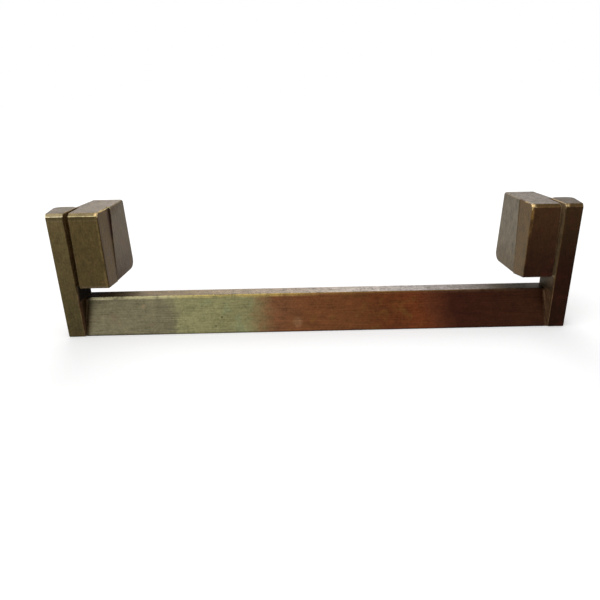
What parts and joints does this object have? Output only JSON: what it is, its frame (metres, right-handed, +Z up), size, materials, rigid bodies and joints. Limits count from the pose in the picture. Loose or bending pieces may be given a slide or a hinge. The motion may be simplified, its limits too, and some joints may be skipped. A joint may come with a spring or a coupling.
{
  "type": "bridge pull handle",
  "caption": "Cast cabinet pull: a leaning flat frame with a slanted cross bar, held off the front by square posts with tapped screw holes.",
  "frame": {"origin": "midway between the two screw holes, on the plane of the mounting faces that sit on the cabinet", "axes": "+X along the handle, +Y into the cabinet, +Z up with the bar at the foot; the front faces -Y"},
  "size_m": [0.151, 0.022, 0.0364],
  "materials": {
    "antique_brass": "brushed antique brass with olive and copper-brown patina, worn bright along the top edges"
  },
  "bodies": {
    "root": {"pull_handle": "antique_brass"}
  },
  "joints": []
}
